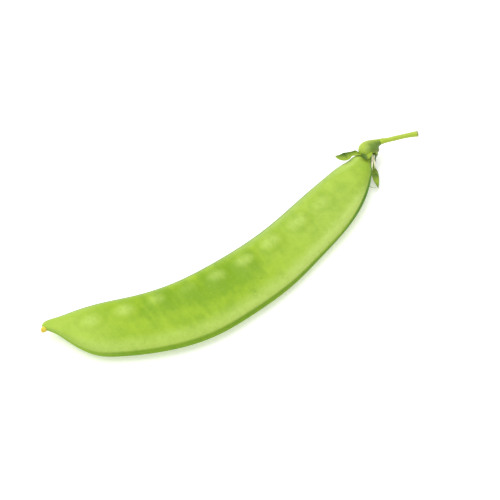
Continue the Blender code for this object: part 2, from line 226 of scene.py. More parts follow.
class PodShape(PropertyGroup):
    """Sizes of the pod's skin"""

    rings: IntProperty(name="Rings", description="Rings along the pod", default=380, min=40)
    sides: IntProperty(name="Sides", description="Faces round, a multiple of four", default=144, min=24)
    full_width: length("Full width", "Width at which the pod has its full thickness", 18.2)
    half_thickness: length("Half thickness", "From the middle plane to a face at full width", 2.85)
    thickness_power: share("Thickness power", "How thickness follows width along the pod", 0.58)
    flank_power: share("Flank power", "A higher value gives a flatter face", 3.4)
    flank_root: share("Flank root", "A lower value gives a blunter edge", 0.55)
    seam_proud: length("Seam proud", "How far the seams stand out from the flanks", 0.28)
    seam_radius: length("Seam radius", "Half the height of a seam's bead", 0.55)
    seam_fillet: length("Seam fillet", "How softly a seam runs into the flank", 0.22)
    cleft_depth: length("Cleft depth", "Depth of the line between the two lips of the seed seam", 0.12)
    cleft_width: length("Cleft width", "Half width of that line", 0.11)
    seed_spread: length("Seed spread", "Spread of a seed's swelling across the pod", 1.9)
    seed_roundness: share("Seed roundness", "A higher value gives shorter swellings along the pod", 0.8)
    dent_depth: length("Dent depth", "Depth of the soft unevenness of the faces", 0.1)
    dent_scale: share("Dent scale", "How many soft dents there are in a metre", 95.0)
    pattern_seed: share("Pattern seed", "Picks another set of dents", 3.0)


class SweepShape(PropertyGroup):
    """Sizes of a piece swept along a line"""

    sides: IntProperty(name="Sides", description="Faces round the piece", default=40, min=5)
    ridges: IntProperty(name="Ridges", description="Ridges round the piece", default=7, min=0)
    ridge_height: share("Ridge height", "Height of the ridges as a share of the radius", 0.04)
    wobble: length("Wobble", "How far the line strays", 0.0)
    wobble_scale: share("Wobble scale", "How many strays there are in a metre", 400.0)
    girth_change: share("Girth change", "How much the radius varies, as a share", 0.05)
    pattern_seed: share("Pattern seed", "Picks another set of strays", 5.0)


class PodColours(PropertyGroup):
    """Colours of the pod's finishes"""

    skin_deep: colour("Skin, deep", "The deeper green of the faces", (0.205, 0.37, 0.012))
    skin_fresh: colour("Skin, fresh", "The fresher green of the faces", (0.335, 0.505, 0.024))
    # Paler skin over the seeds, and the colour of the painted highlights and painted sheen.
    skin_pale: colour("Skin, pale", "Over the seeds and beside the back seam", (0.49, 0.65, 0.145))
    # Painted shade on the flanks beside the seams, and the colour of the dark specks.
    skin_edge: colour("Skin, edge", "The flanks beside the seams", (0.10, 0.24, 0.02))
    seam: colour("Seam", "The seams' beads", (0.42, 0.58, 0.1))
    calyx_deep: colour("Calyx, deep", "The deeper green of the cup", (0.14, 0.25, 0.03))
    calyx_fresh: colour("Calyx, fresh", "The fresher green of the cup", (0.42, 0.56, 0.06))
    lobe_deep: colour("Lobe, deep", "The darker green of the lobes", (0.07, 0.15, 0.015))
    lobe_fresh: colour("Lobe, fresh", "The lighter green of the lobes", (0.31, 0.45, 0.03))
    stalk: colour("Stalk", "The stalk's middle", (0.40, 0.53, 0.015))
    stalk_cut: colour("Stalk, cut end", "The dried cut end", (0.34, 0.33, 0.18))
    straw: colour("Straw", "The dried threads", (0.88, 0.86, 0.54))
    brown: colour("Brown", "Dried spots and tips", (0.22, 0.13, 0.04))
    style: colour("Style", "The withered style", (0.72, 0.60, 0.06))
    style_tip: colour("Style, tip", "The style's end", (0.66, 0.47, 0.04))


class Studio(PropertyGroup):
    """The floor and the lights"""

    floor_size: length("Floor size", "Side of the floor", 3000.0)
    floor_colour: colour("Floor", "The floor's paint", (0.95, 0.95, 0.95))
    floor_glow: share("Floor glow", "Strength of the floor's own light", 0.28)
    room_light: share("Room light", "Strength of the light from all round", 0.5)
    top_light: share("Top light", "Power of the large light overhead, in watts", 7.4)
    side_light: share("Side light", "Power of the light at the left, in watts", 0.6)


# -------- curves and directions


def spline(knots, values, at):
    """A natural cubic spline through (knot, value) pairs, read at the given places."""
    knots = np.asarray(knots, float)
    values = np.asarray(values, float).reshape(len(knots), -1)
    at = np.asarray(at, float)
    step = np.diff(knots)[:, None]
    slope = np.diff(values, axis=0) / step
    matrix = np.eye(len(knots))
    right = np.zeros_like(values)
    for i in range(1, len(knots) - 1):
        before, after = step[i - 1, 0], step[i, 0]
        matrix[i, i - 1 : i + 2] = before, 2 * (before + after), after
        right[i] = 6 * (slope[i] - slope[i - 1])
    bend = np.linalg.solve(matrix, right)
    cell = np.clip(np.searchsorted(knots, at) - 1, 0, len(knots) - 2)
    width = step[cell]
    near = ((at - knots[cell])[:, None]) / width
    far = 1 - near
    curve = (far**3 - far) * bend[cell] + (near**3 - near) * bend[cell + 1]
    return far * values[cell] + near * values[cell + 1] + curve * width**2 / 6


def along(points):
    """Distance along a row of points, from the first."""
    return np.concatenate([[0.0], np.cumsum(np.linalg.norm(np.diff(points, axis=0), axis=1))])


def unit(vectors):
    return vectors / np.linalg.norm(vectors, axis=-1, keepdims=True)


def heading(degrees, rise):
    """A direction from a heading in plan, turned from +X towards +Y, and a rise above level."""
    turn, lift = math.radians(degrees), math.radians(rise)
    return np.array([math.cos(lift) * math.cos(turn), math.cos(lift) * math.sin(turn), math.sin(lift)])


def cup_axes(facing, rise):
    """The way a ring of the cup faces, its seed-seam side and its top side."""
    inward = heading(facing, rise)
    seed_side = unit(np.cross((0.0, 0.0, 1.0), inward))
    return inward, seed_side, np.cross(inward, seed_side)


def mouth_axes():
    """The axes of the ring at the cup's mouth."""
    _, _, rise, facing, _ = CUP[0]
    return cup_axes(facing, rise)


def spokes(axes, turn):
    """Directions out from a ring's centre, turned from its seed-seam side towards its top."""
    _, seed_side, top = axes
    return seed_side * np.cos(turn) + top * np.sin(turn)


def turned(turn, degrees):
    """How many degrees each turn is past an angle, from -180 to 180."""
    return (np.degrees(turn) - degrees + 180) % 360 - 180


def hump(off, width):
    """One in the middle and smoothly nought beyond the width."""
    return np.exp(-((off / width) ** 2))


def placed(points):
    """Drawing millimetres to metres from the world origin."""
    return (np.asarray(points, float) - ORIGIN) * MM


# -------- nodes written as expressions


class Value:
    """A node's output socket. Sums and products of values add Math nodes."""

    def __init__(self, graph, socket):
        self.graph = graph
        self.socket = socket

    def math(self, operation, *others):
        return self.graph.math(operation, self, *others)

    def __add__(self, other):
        return self.math("ADD", other)

    def __sub__(self, other):
        return self.math("SUBTRACT", other)

    def __rsub__(self, other):
        return self.graph.math("SUBTRACT", other, self)

    def __mul__(self, other):
        return self.math("MULTIPLY", other)

    def __truediv__(self, other):
        return self.math("DIVIDE", other)

    def __pow__(self, other):
        return self.math("POWER", other)

    def __neg__(self):
        return self * -1.0

    __radd__ = __add__
    __rmul__ = __mul__

    def above(self, low, high):
        """Nought below low, one above high and smooth between them."""
        limits = {"Value": self, "From Min": low, "From Max": high}
        return self.graph.value("ShaderNodeMapRange", limits, interpolation_type="SMOOTHSTEP")


class Graph:
    """Adds nodes to a node tree and joins their sockets."""

    def __init__(self, tree):
        self.tree = tree

    def add(self, kind, inputs=None, **settings):
        """Adds a node, with its settings made first and then the values or links of its inputs."""
        node = self.tree.nodes.new(kind)
        for name, value in settings.items():
            setattr(node, name, value)
        for key, value in (inputs or {}).items():
            self.feed(node.inputs[key], value)
        return node

    def feed(self, socket, value):
        if isinstance(value, Value):
            self.tree.links.new(value.socket, socket)
        elif socket.type == "RGBA":
            socket.default_value = (*value, 1.0)
        else:
            socket.default_value = value

    def value(self, kind, inputs=None, output=0, **settings):
        return Value(self, self.add(kind, inputs, **settings).outputs[output])

    def math(self, operation, *values):
        return self.value("ShaderNodeMath", dict(enumerate(values)), operation=operation)

    def mix(self, factor, first, second):
        """A colour between two colours."""
        node = self.add("ShaderNodeMix", data_type="RGBA")
        sockets = [socket for socket in node.inputs if socket.enabled]
        for socket, value in zip(sockets, (factor, first, second)):
            self.feed(socket, value)
        return Value(self, next(socket for socket in node.outputs if socket.enabled))

    def vector(self, x, y, z):
        return self.value("ShaderNodeCombineXYZ", {"X": x, "Y": y, "Z": z})

    def parts(self, vector):
        """The x, y and z of a vector."""
        node = self.add("ShaderNodeSeparateXYZ", {"Vector": vector})
        return [Value(self, socket) for socket in node.outputs]

    def noise(self, vector, scale, detail=2.0, roughness=0.5, seed=0.0):
        inputs = {"Vector": vector, "Scale": scale, "Detail": detail, "Roughness": roughness, "W": seed}
        return self.value("ShaderNodeTexNoise", inputs, noise_dimensions="4D")


# -------- finishes


class Finish(Graph):
    """A Principled material under construction."""

    def __init__(self, name, **constants):
        self.material = bpy.data.materials.new(name)
        self.material.use_nodes = True
        super().__init__(self.material.node_tree)
        self.shader = self.tree.nodes["Principled BSDF"]
        for socket, value in constants.items():
            self.shader.inputs[socket.replace("_", " ")].default_value = value
        self.base = self.spot = None

    def grain(self, scale, **more):
        """Noise over the object, with so many grains to the metre."""
        if self.spot is None:
            self.spot = self.value("ShaderNodeTexCoord", output="Object")
        return self.noise(self.spot, scale, **more)

    def place(self):
        """The piece's own coordinates, kept on its vertices."""
        return self.parts(self.value("ShaderNodeAttribute", output="Vector", attribute_name="place"))

    def ground(self, mask, first, second):
        """Starts the base colour: the second of two colours where the mask is one."""
        self.base = self.mix(mask, first, second)

    def coat(self, mask, paint):
        """Lays a colour over the base where the mask is one."""
        self.base = self.mix(mask, self.base, paint)

    def done(self, roughness, height, depth):
        """Joins the colour, the roughness and a relief of the given depth in metres to the shader."""
        bump = self.value("ShaderNodeBump", {"Height": height, "Distance": depth})
        for name, value in (("Base Color", self.base), ("Roughness", roughness), ("Normal", bump)):
            self.feed(self.shader.inputs[name], value)
        return self.material


def pod_skin_finish(colours):
    """Waxy green skin, finely mottled, with painted shade in the middle and on the flanks, palest over the
    seeds with paler skin and painted highlights, and with painted sheen at the back.
    """
    flesh = {"Subsurface_Weight": 0.1, "Subsurface_Scale": 0.001, "Subsurface_Radius": (0.8, 1.0, 0.2)}
    finish = Finish("pod_skin", IOR=1.33, Specular_IOR_Level=0.35, **flesh)
    along_pod, across, seed = finish.place()
    clouds = finish.grain(85.0, detail=3.0, roughness=0.55, seed=1.0) - 0.5
    blotches = finish.grain(230.0, detail=3.0, roughness=0.6, seed=6.0) - 0.5
    mottle = finish.grain(520.0, detail=5.0, roughness=0.7, seed=2.0)
    flecks = finish.grain(1900.0, roughness=0.6, seed=3.0)
    specks = finish.grain(900.0, detail=1.0, seed=9.0).above(0.74, 0.8)
    x, y, z = finish.parts(finish.spot)
    veins = finish.noise(finish.vector(x, y * 0.15, z * 0.15), 650.0, detail=3.0, seed=7.0) - 0.5
    streaks = finish.noise(finish.vector(x, y * 0.2, z * 0.2), 1500.0, seed=4.0)
    bloom = mottle + flecks * 0.8 + blotches * 0.4 - 0.4

    # The face carries painted shade below the middle seeds, as a shallow hollow there would be shaded, and
    # is fresher towards both ends.
    hollow_shade_length = along_pod.above(0.18, 0.36) * (1 - along_pod.above(0.44, 0.66))
    hollow_shade_width = (across + along_pod.above(0.3, 0.45) * 0.25).above(-0.25, 0.25)
    deep = hollow_shade_length * hollow_shade_width * (1 - across.above(0.5, 0.85))
    fresh = 0.62 - deep * 0.5 + clouds * 0.8 + (mottle - 0.5) * 1.1 + blotches * 0.8
    fresh = fresh + veins * (0.8 + hollow_shade_length * 0.4) + (1 - along_pod.above(0.06, 0.16)) * 0.35
    finish.ground(fresh.above(0.0, 1.0), colours.skin_deep, colours.skin_fresh)

    # It pales towards the stalk and the beak, and a band beside the back seam is palest of all: painted
    # sheen, the reflection of the light overhead where the face curves down.
    to_back = -across
    towards_stalk = along_pod.above(0.5, 0.85)
    neck = along_pod.above(0.85, 0.94)
    sheen_band = (to_back + blotches * 0.15 - towards_stalk * 0.05).above(0.36, 0.84) ** 1.6
    sheen_band = sheen_band * (1 - to_back.above(0.9, 0.95)) * (1 - neck) * (0.75 + along_pod.above(0.3, 0.45) * 0.25)
    pale = sheen_band + along_pod.above(0.45, 0.8) * (1 - neck * 0.2) * 0.42
    pale = pale + (1 - along_pod.above(0.08, 0.2)) * 0.38
    finish.coat(pale * bloom.above(-0.6, 0.95), colours.skin_pale)
    # Painted shade on the back seam's half of the neck, below the calyx.
    finish.coat(to_back.above(0.2, 0.8) * neck * 0.3, colours.skin_deep)

    # A pale strip of painted reflection beside the seed seam shows in the stalk's half only, and painted
    # shade deepens that seam's flank there.
    sheen_strip = (across - 0.72 + neck * 0.45).above(-0.15, 0.15) * along_pod.above(0.42, 0.62)
    finish.coat(sheen_strip * bloom.above(-0.3, 0.9) * 0.75, colours.skin_pale)
    finish.coat(across.above(0.6, 0.85) * along_pod.above(0.4, 0.6) * 0.22, colours.skin_edge)

    # Each seed shows as a pale crown, partly paler skin and partly painted highlight, inside a faint ring
    # of painted shade at the swelling's foot.
    chamber_shade = seed.above(0.01, 0.1) * (1 - seed.above(0.12, 0.4))
    finish.coat(chamber_shade * bloom.above(-0.2, 1.0) * 0.25, colours.skin_deep)
    crown = (seed + blotches * 0.4).above(0.1, 1.1)
    finish.coat(crown * bloom.above(-0.25, 0.85) * 0.7, colours.skin_pale)
    finish.coat((flecks - mottle * 0.35).above(0.38, 0.6) * 0.16, colours.skin_pale)

    # The flanks beside both seams carry painted shade, and the back seam's bead is paler than its flank,
    # partly its own colour and partly painted highlight.
    near_beak = 1 - along_pod.above(0.02, 0.2)
    finish.coat(to_back.above(0.45, 0.85) * near_beak * 0.5, colours.skin_deep)
    edge = to_back - towards_stalk * 0.06 + along_pod.above(0.74, 0.92) * 0.07
    flank_shade_depth = 0.55 + towards_stalk * 0.45 - near_beak * 0.3
    finish.coat(edge.above(0.89, 0.95) * flank_shade_depth, colours.skin_edge)
    seam = across.math("ABSOLUTE").above(0.988, 0.997)
    finish.coat(seam * along_pod.above(0.2, 0.6) * 0.15, colours.seam)
    # Painted shade dims the seed seam's outer flank and bead, where the light from behind falls.
    finish.coat(across.above(0.86, 0.96) * 0.6, colours.skin_edge)
    finish.coat(specks * 0.35, colours.skin_edge)
    height = mottle * 0.6 + flecks * 0.25 + streaks * 0.3 + seed * 5.0
    return finish.done(mottle * 0.2 + 0.36, height, 0.00004)


def calyx_finish(colours):
    """Matt green cup with painted light on the seed seam's side and painted shade on the other, and a dry
    brown spotted rim.
    """
    finish = Finish("calyx_skin", IOR=1.4)
    reach, rib, seed_side = finish.place()
    clouds = finish.grain(330.0, detail=3.0, seed=1.0)
    mottle = finish.grain(1100.0, detail=3.0, roughness=0.6, seed=5.0)
    grain = finish.grain(2400.0, detail=3.0, roughness=0.6, seed=2.0)
    # Painted light on the seed seam's side of the cup and painted shade on the other side.
    fresh = seed_side * 0.55 + reach * 0.15 + 0.3 + (clouds - 0.5) * 0.8 + (mottle - 0.5) * 0.5 + rib * 0.08
    finish.ground(fresh.above(0.0, 1.0), colours.calyx_deep, colours.calyx_fresh)
    finish.coat((1 - reach.above(-0.02, 0.2)) * 0.5, colours.lobe_fresh)
    dry = (1 - reach.above(0.05, 0.4)) * (1 - seed_side.above(-0.7, -0.1)) * mottle.above(0.46, 0.56)
    finish.coat(dry * 0.8, colours.brown)
    return finish.done(grain * 0.2 + 0.42, grain * 0.5 + clouds, 0.00006)


def lobe_finish(colours):
    """A leafy blade: a paler midrib and side veins, a fresh root, painted light and shade across it,
    margins darkened by painted shade, and a dry tip.
    """
    finish = Finish("lobe_leaf", IOR=1.4)
    up, across, fresher = finish.place()
    clouds = finish.grain(420.0, detail=4.0, roughness=0.65, seed=1.0)
    grain = finish.grain(3000.0, detail=3.0, seed=2.0)
    from_rib = across.math("ABSOLUTE")
    from_vein = ((up * 9.0 - from_rib * 1.6).math("FRACT") - 0.5).math("ABSOLUTE")
    vein = (1 - from_rib.above(0.03, 0.12)).math("MAXIMUM", (1 - from_vein.above(0.03, 0.11)) * 0.6)
    # Painted light on one margin and painted shade on the other, from each lobe's table.
    fresh = (clouds - 0.5) * 2.2 + up * 0.3 + fresher + 0.35
    finish.ground(fresh.above(0.0, 1.0), colours.lobe_deep, colours.lobe_fresh)
    finish.coat(vein * 0.25, colours.lobe_fresh)
    finish.coat((1 - up.above(0.08, 0.34)) * 0.7, colours.calyx_fresh)
    # Painted shade along the margins.
    finish.coat(from_rib.above(0.86, 0.99) * 0.6, colours.lobe_deep)
    finish.coat(up.above(0.93, 1.0) * 0.8, colours.brown)
    return finish.done(grain * 0.15 + 0.45, vein + grain * 0.4, 0.00004)


def stalk_finish(colours):
    """Yellow-green stalk with fine lengthwise streaks and a dry cut end inside a brown ring."""
    finish = Finish("stalk_skin", IOR=1.42, Coat_Weight=0.05)
    reach, turn, _ = finish.place()
    clouds = finish.grain(260.0, seed=1.0)
    streaks = finish.noise(finish.vector(reach * 4.0, turn * 3.0, 0.0), 4.0, detail=3.0, seed=2.0)
    finish.ground((clouds * 0.6 + streaks * 0.5 - 0.2).above(0.0, 0.7), colours.calyx_fresh, colours.stalk)
    finish.coat(reach.above(0.93, 0.985) * 0.75, colours.stalk_cut)
    finish.coat(reach.above(0.965, 0.98) * (1 - reach.above(0.985, 0.99)) * 0.6, colours.brown)
    return finish.done(streaks * 0.2 + 0.35, streaks + clouds * 0.4, 0.00005)


def thread_finish(colours):
    """Dry straw, browner in places and a darker green at the tip, partly the threads' own olive ends and
    partly painted shade.
    """
    finish = Finish("dried_thread", IOR=1.4)
    reach, _, _ = finish.place()
    clouds = finish.grain(700.0, detail=3.0, seed=1.0)
    finish.ground(clouds.above(0.55, 0.8) * 0.5, colours.straw, colours.brown)
    # Darker green at the ends: partly the threads' own olive colour and partly painted shade.
    finish.coat(reach.above(0.7, 0.9) * 0.5, colours.calyx_deep)
    return finish.done(0.75, clouds, 0.00003)


def style_finish(colours):
    """Green where it leaves the beak, then dry yellow-brown and orange-brown at the tip."""
    finish = Finish("withered_style", IOR=1.4)
    reach, _, _ = finish.place()
    clouds = finish.grain(900.0, detail=3.0, seed=1.0)
    finish.ground((reach + clouds * 0.6).above(0.75, 1.25), colours.style, colours.style_tip)
    finish.coat(1 - reach.above(0.0, 0.25), colours.skin_fresh)
    return finish.done(0.6, clouds, 0.0001)


def floor_finish(studio):
    """Matt white, with a faint glow of its own that softens shadows as a light table does."""
    paint = (*studio.floor_colour, 1.0)
    glow = {"Emission_Color": WHITE, "Emission_Strength": studio.floor_glow}
    return Finish("pale_floor", Base_Color=paint, Roughness=0.9, **glow).material


# -------- making meshes


def link(made):
    bpy.context.scene.collection.objects.link(made)
    return made


def mesh_of(name, points, edges, faces, **notes):
    """A mesh that keeps vectors on its vertices."""
    mesh = bpy.data.meshes.new(name)
    mesh.from_pydata([tuple(point) for point in points], edges, faces)
    for key, rows in notes.items():
        attribute = mesh.attributes.new(key, "FLOAT_VECTOR", "POINT")
        attribute.data.foreach_set("vector", np.asarray(rows, np.float32).ravel())
    return mesh


def line_mesh(name, points, **notes):
    """A row of joined points, each with vectors of its own."""
    return mesh_of(name, points, [(i, i + 1) for i in range(len(points) - 1)], [], **notes)


def ring_mesh(name, rings, places, finish):
    """A closed skin over rings of points, drawn to a pole at each end. Each vertex keeps its place."""
    count, sides = np.shape(rings)[:2]
    last = (count - 1) * sides
    faces = []
    for i in range(sides):
        j = (i + 1) % sides
        faces += [(row + i, row + j, row + sides + j, row + sides + i) for row in range(0, last, sides)]
        faces += [(count * sides, j, i), (count * sides + 1, last + i, last + j)]
    mesh = mesh_of(name, with_poles(rings), [], faces, place=with_poles(places))
    mesh.materials.append(finish)
    mesh.shade_smooth()
    return outwards(name, mesh)


def with_poles(rings):
    """The rings' points in one row, and then the middles of the first ring and the last."""
    return np.concatenate([*rings, np.mean([rings[0], rings[-1]], axis=1)])


def outwards(name, mesh):
    """An object with the mesh, whose faces are all turned over if they point inwards."""
    mesh.calc_loop_triangles()
    corners = np.array([[mesh.vertices[v].co for v in face.vertices] for face in mesh.loop_triangles])
    six_volumes = np.einsum("ij,ij->", corners[:, 0], np.cross(corners[:, 1], corners[:, 2]))
    if six_volumes < 0:
        mesh.flip_normals()
    return link(bpy.data.objects.new(name, mesh))


def numbers(settings):
    """The settings that hold one number each."""
    held = settings.bl_rna.properties
    return [prop for prop in held if prop.type in {"FLOAT", "INT"} and not prop.is_array]


class Shaping(Graph):
    """A Geometry Nodes tree under construction, with an input for each number in the settings."""

    def __init__(self, name, settings):
        super().__init__(bpy.data.node_groups.new(name, "GeometryNodeTree"))
        self.socket("Geometry", "Geometry")
        self.socket("Geometry", "Geometry", in_out="OUTPUT")
        for prop in numbers(settings):
            made = self.socket(prop.name, prop.type.title(), description=prop.description)
            made.default_value = prop.default
        self.socket("Material", "Material")
        source = self.add("NodeGroupInput")
        self.given = {socket.name: Value(self, socket) for socket in source.outputs if socket.name}

    def socket(self, name, kind, in_out="INPUT", description=""):
        make = self.tree.interface.new_socket
        return make(name, description=description, in_out=in_out, socket_type="NodeSocket" + kind)

    def noted(self, name, kind="FLOAT_VECTOR"):
        """What is kept on each point under a name."""
        return self.value("GeometryNodeInputNamedAttribute", {"Name": name}, data_type=kind)

    def step(self, kind, geometry, inputs=None, **settings):
        """A node that takes a geometry and gives it on changed."""
        return self.value("GeometryNode" + kind, {"Geometry": geometry, **(inputs or {})}, **settings)

    def note(self, geometry, name, value, kind="FLOAT_VECTOR"):
        """Keeps a value on each point."""
        kept = {"Name": name, "Value": value}
        return self.step("StoreNamedAttribute", geometry, kept, data_type=kind, domain="POINT")

    def close(self, skin):
        """Ends the tree in a smooth skin, Realize Instances and Set Material."""
        skin = self.step("SetShadeSmooth", skin, {"Shade Smooth": True})
        skin = self.step("RealizeInstances", skin)
        skin = self.step("SetMaterial", skin, {"Material": self.given["Material"]})
        self.add("NodeGroupOutput", {"Geometry": skin})
        return self.tree


def grow(name, source, tree, settings, finish):
    """Runs a tree on a source mesh and keeps the result as a plain mesh."""
    holder = link(bpy.data.objects.new(name + "_source", source))
    modifier = holder.modifiers.new(tree.name, "NODES")
    modifier.node_group = tree
    values = {prop.name: getattr(settings, prop.identifier) for prop in numbers(settings)}
    values["Material"] = finish
    for item in tree.interface.items_tree:
        if item.in_out == "INPUT" and item.name in values:
            modifier[item.identifier] = values[item.name]
    depsgraph = bpy.context.evaluated_depsgraph_get()
    grown = holder.evaluated_get(depsgraph)
    mesh = bpy.data.meshes.new_from_object(grown, preserve_all_data_layers=True, depsgraph=depsgraph)
    holder.modifiers.remove(modifier)
    bpy.data.objects.remove(holder)
    mesh.name = name
    return outwards(name, mesh)


def finish_piece(piece, node):
    """Joins a finished piece to the one body, in place of its CAD node."""
    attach(piece, "root")
    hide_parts(node)


# -------- the pod


def seam_rows(shape):
    """A row of points along the seed seam, with what the skin's tree needs to know at each of them."""
    stations = np.array(STATIONS)
    knots = along(stations.mean(axis=1))
    part = np.linspace(0, 1, shape.rings - 2 * END_CAP_RINGS)
    crowded, power = RING_CROWDING
    at = knots[-1] * (part**power * crowded + part * (1 - crowded))
    seed = spline(knots, stations[:, 0], at)
    back = spline(knots, stations[:, 1], at)

    seed, back = domed_ends(seed, back)
    at = np.pad(at, END_CAP_RINGS, mode="edge")
    height = spline(*zip(*MIDDLE_HEIGHT), at)
    roll = np.radians(spline(*zip(*ROLL_DEGREES), at))
    reach = along(seed)

    # Seeds count up from one at the beak. Half-way between two of them the count is a whole and a half.
    stops, hangs, rises = np.array(SEEDS).T
    spacing = np.diff(stops).mean()
    stops = np.concatenate([[stops[0] - spacing], stops, [stops[-1] + spacing]])
    count = np.interp(reach, stops, np.arange(len(stops)))
    hang = np.interp(reach, stops[1:-1], hangs) * MM
    rise = np.interp(reach, stops, [0.0, *rises, 0.0]) * MM
    seed = placed(np.hstack([seed, height]))
    back = placed(np.hstack([back, height]))
    turns = np.column_stack([roll, at / at[-1], count])
    swellings = np.column_stack([hang, rise, count * 0])
    return line_mesh("pod_seams", seed, back_seam=back, turns=turns, swellings=swellings)


def domed_ends(seed, back):
    """Both seams, with rings added that close each end of the pod with a low dome."""
    middle, half = (seed + back) / 2, (seed - back) / 2
    dome = np.linspace(0, math.pi / 2, END_CAP_RINGS, endpoint=False)[:, None]
    caps = []
    for end, next_in in ((0, 1), (-1, -2)):
        depth = np.cos(dome) * np.linalg.norm(half[end]) * END_CAP_DEPTH
        centres = middle[end] + unit(middle[end] - middle[next_in]) * depth
        halves = half[end] * np.maximum(np.sin(dome), 1e-4)
        caps.append(np.array([centres + halves, centres - halves]))
    return np.concatenate([caps[0], [seed, back], caps[1][:, ::-1]], axis=1)


def pod_skin_tree(shape):
    """A grid wrapped round the two seams: flat faces, blunt flanks, proud seams and low seed swellings."""
    graph = Shaping("Pod skin", shape)
    given = graph.given
    columns = given["Sides"] + 1
    sheet = graph.value("GeometryNodeMeshGrid", {"Vertices X": given["Rings"], "Vertices Y": columns})
    index = graph.value("GeometryNodeInputIndex")
    ring = (index / columns).math("FLOOR")
    turn = (index - ring * columns) / given["Sides"] * math.tau

    def sampled(field):
        inputs = {"Geometry": given["Geometry"], "Value": field, "Index": ring}
        settings = {"data_type": "FLOAT_VECTOR", "domain": "POINT"}
        return graph.parts(graph.value("GeometryNodeSampleIndex", inputs, **settings))

    seed_x, seed_y, height = sampled(graph.value("GeometryNodeInputPosition"))
    back_x, back_y, _ = sampled(graph.noted("back_seam"))
    roll, along_pod, count = sampled(graph.noted("turns"))
    hang, rise, _ = sampled(graph.noted("swellings"))

    # Where the vertex is across the pod, before seams and swellings.
    gap_x, gap_y = seed_x - back_x, seed_y - back_y
    width = (gap_x * gap_x + gap_y * gap_y).math("SQRT")
    half = width * 0.5
    out_x, out_y = gap_x / width, gap_y / width
    across = turn.math("COSINE")
    side = turn.math("SINE").math("SIGN")
    off_middle = across * half
    off_size = off_middle.math("ABSOLUTE")

    # The face and flank, then the seam's bead, which stands proud of them.
    proud = given["Seam proud"].math("MINIMUM", half * 0.2)
    part = (off_size / (half - proud)).math("MINIMUM", 1.0)
    thickness = given["Half thickness"] * (width / given["Full width"]) ** given["Thickness power"]
    flank = thickness * (1 - part ** given["Flank power"]) ** given["Flank root"]
    bead_radius = given["Seam radius"].math("MINIMUM", half * 0.45)
    from_bead = (off_size - (half - bead_radius)).math("MAXIMUM", 0.0)
    inside_bead = off_size.math("GREATER_THAN", half - bead_radius)
    bead = (bead_radius * bead_radius - from_bead * from_bead).math("MAXIMUM", 0.0).math("SQRT")
    fillet = given["Seam fillet"].math("MINIMUM", half * 0.1)
    lift = flank.math("SMOOTH_MAX", bead * inside_bead, fillet)
    lift = lift * (1 - off_size / half).above(0.0, EDGE_CLOSING)

    # Seeds repeat along the seed seam and hang in from it.
    inset = half - off_middle
    lengthwise = ((count * math.tau).math("COSINE") * 0.5 + 0.5) ** given["Seed roundness"]
    from_seed = (inset - hang) / given["Seed spread"]
    crosswise = (from_seed * from_seed * -0.5).math("EXPONENT")
    swelling = lengthwise * crosswise

    # Soft dents, and everything fades out at the seams.
    flat = graph.vector(seed_x - out_x * inset, seed_y - out_y * inset, side * FACES_APART)
    dents = graph.noise(flat, given["Dent scale"], seed=given["Pattern seed"]) - 0.5
    lift = lift + (swelling * rise + dents * given["Dent depth"] * 2.0) * (1 - part).math("SQRT")

    # The line between the lips of the seed seam.
    from_line = lift / given["Cleft width"]
    cleft_depth = given["Cleft depth"].math("MINIMUM", half * 0.1)
    cleft = (from_line * from_line * -1.0).math("EXPONENT") * cleft_depth
    off_middle = off_middle - cleft * across.above(0.9, 0.95)

    # The ring is rolled about its middle and rests on the floor.
    lifted = side * lift
    level = off_middle * roll.math("COSINE") - lifted * roll.math("SINE")
    up = height + off_middle * roll.math("SINE") + lifted * roll.math("COSINE")
    up = up.math("SMOOTH_MAX", 0.0, FLOOR_SOFTNESS)
    middle_x, middle_y = (seed_x + back_x) * 0.5, (seed_y + back_y) * 0.5
    where = graph.vector(middle_x + out_x * level, middle_y + out_y * level, up)

    skin = graph.step("SetPosition", sheet, {"Position": where})
    crown = swelling * crosswise * (rise / FULL_SWELLING)
    skin = graph.note(skin, "place", graph.vector(along_pod, across, crown))
    return graph.close(graph.step("MergeByDistance", skin, {"Distance": WELD}))


class OBJECT_OT_pea_pod_skin(Operator):
    """Makes the pod's skin round its two seams"""

    bl_idname = "object.pea_pod_skin"
    bl_label = "Pod Skin"

    def execute(self, context):
        shape = context.scene.pod_shape
        finish = pod_skin_finish(context.scene.pod_colours)
        skin = grow("pod_skin", seam_rows(shape), pod_skin_tree(shape), shape, finish)
        finish_piece(skin, "pod")
        return {"FINISHED"}


# -------- the calyx cup


class OBJECT_OT_pea_calyx_cup(Operator):
    """Makes the swollen cup that holds the pod's neck"""

    bl_idname = "object.pea_calyx_cup"
    bl_label = "Calyx Cup"

    def execute(self, context):
        finish = calyx_finish(context.scene.pod_colours)
        cup = ring_mesh("calyx_skin", *cup_rings(rings=64, sides=120), finish)
        finish_piece(cup, "calyx_cup")
        return {"FINISHED"}


